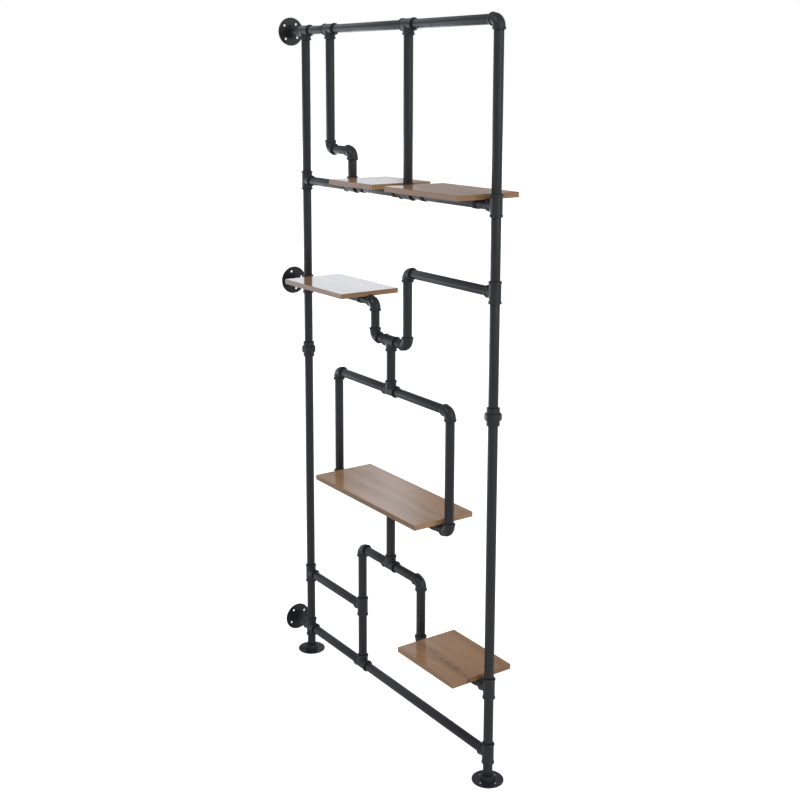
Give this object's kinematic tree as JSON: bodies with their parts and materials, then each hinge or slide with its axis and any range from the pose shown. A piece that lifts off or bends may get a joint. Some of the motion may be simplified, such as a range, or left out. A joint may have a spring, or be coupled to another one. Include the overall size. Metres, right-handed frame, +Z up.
{
  "type": "pipe shelving unit",
  "caption": "Tall open shelving unit of black threaded pipe, cast fittings and flanges, with oak-look boards strapped onto a zigzag of pipe between the posts.",
  "frame": {"origin": "on the floor, under the middle of the overall width, in the plane of the pipe frame", "axes": "+Z up, +X from the wall side along the frame, Y across the boards"},
  "size_m": [1.0965, 0.205, 2.1205],
  "materials": {
    "black_pipe": "satin black powder coat on steel pipe",
    "black_casting": "satin black powder coat on cast iron fittings",
    "oak_board": "satin brown oak grain laminate",
    "screw_steel": "bright zinc"
  },
  "bodies": {
    "frame": {"bottom_rail_pipes": "black_pipe", "drop_pipes": "black_pipe", "drop_tee": "black_casting", "floor_flange_left": "black_casting", "floor_flange_right": "black_casting", "frame_foot_elbow": "black_casting", "frame_foot_tee": "black_casting", "frame_left_elbow": "black_casting", "frame_right_elbow": "black_casting", "frame_side_tee": "black_casting", "frame_top_tee": "black_casting", "hanger_rail_tee": "black_casting", "hanger_tee": "black_casting", "hook_inlet_elbow": "black_casting", "hook_left_elbow": "black_casting", "hook_outlet_elbow": "black_casting", "hook_pipes": "black_pipe", "hook_right_elbow": "black_casting", "hook_tee": "black_casting", "left_lower_cross": "black_casting", "left_lower_tee": "black_casting", "left_post_pipes": "black_pipe", "left_union_head": "black_casting", "left_union_tail": "black_casting", "left_upper_cross": "black_casting", "left_upper_tee": "black_casting", "loop_bottom_left_elbow": "black_casting", "loop_bottom_right_elbow": "black_casting", "loop_bottom_tee": "black_casting", "loop_pipes": "black_pipe", "loop_top_left_elbow": "black_casting", "loop_top_right_elbow": "black_casting", "loop_top_tee": "black_casting", "lower_board": "oak_board", "lower_frame_pipes": "black_pipe", "middle_board": "oak_board", "offset_lower_elbow": "black_casting", "offset_rail_tee": "black_casting", "offset_upper_elbow": "black_casting", "pipe_straps": "black_pipe", "right_bottom_tee": "black_casting", "right_hook_tee": "black_casting", "right_lower_tee": "black_casting", "right_post_pipes": "black_pipe", "right_union_head": "black_casting", "right_union_tail": "black_casting", "right_upper_tee": "black_casting", "strap_screws": "screw_steel", "top_left_board": "oak_board", "top_left_tee": "black_casting", "top_rail_pipes": "black_pipe", "top_right_board": "oak_board", "top_right_elbow": "black_casting", "upper_board": "oak_board", "upper_rail_pipes": "black_pipe", "wall_flange_bottom": "black_casting", "wall_flange_middle": "black_casting", "wall_flange_top": "black_casting"},
    "left_nut": {"left_union_nut": "black_casting"},
    "right_nut": {"right_union_nut": "black_casting"}
  },
  "joints": [
    {"name": "left_union_turn", "type": "hinge", "parent": "frame", "child": "left_nut", "pos_m": [-0.45325, 0, 1.051], "axis": [0, 0, 1], "range_deg": [0, 1460]},
    {"name": "right_union_turn", "type": "hinge", "parent": "frame", "child": "right_nut", "pos_m": [0.50375, 0, 1.045], "axis": [0, 0, 1], "range_deg": [0, 1460]}
  ]
}
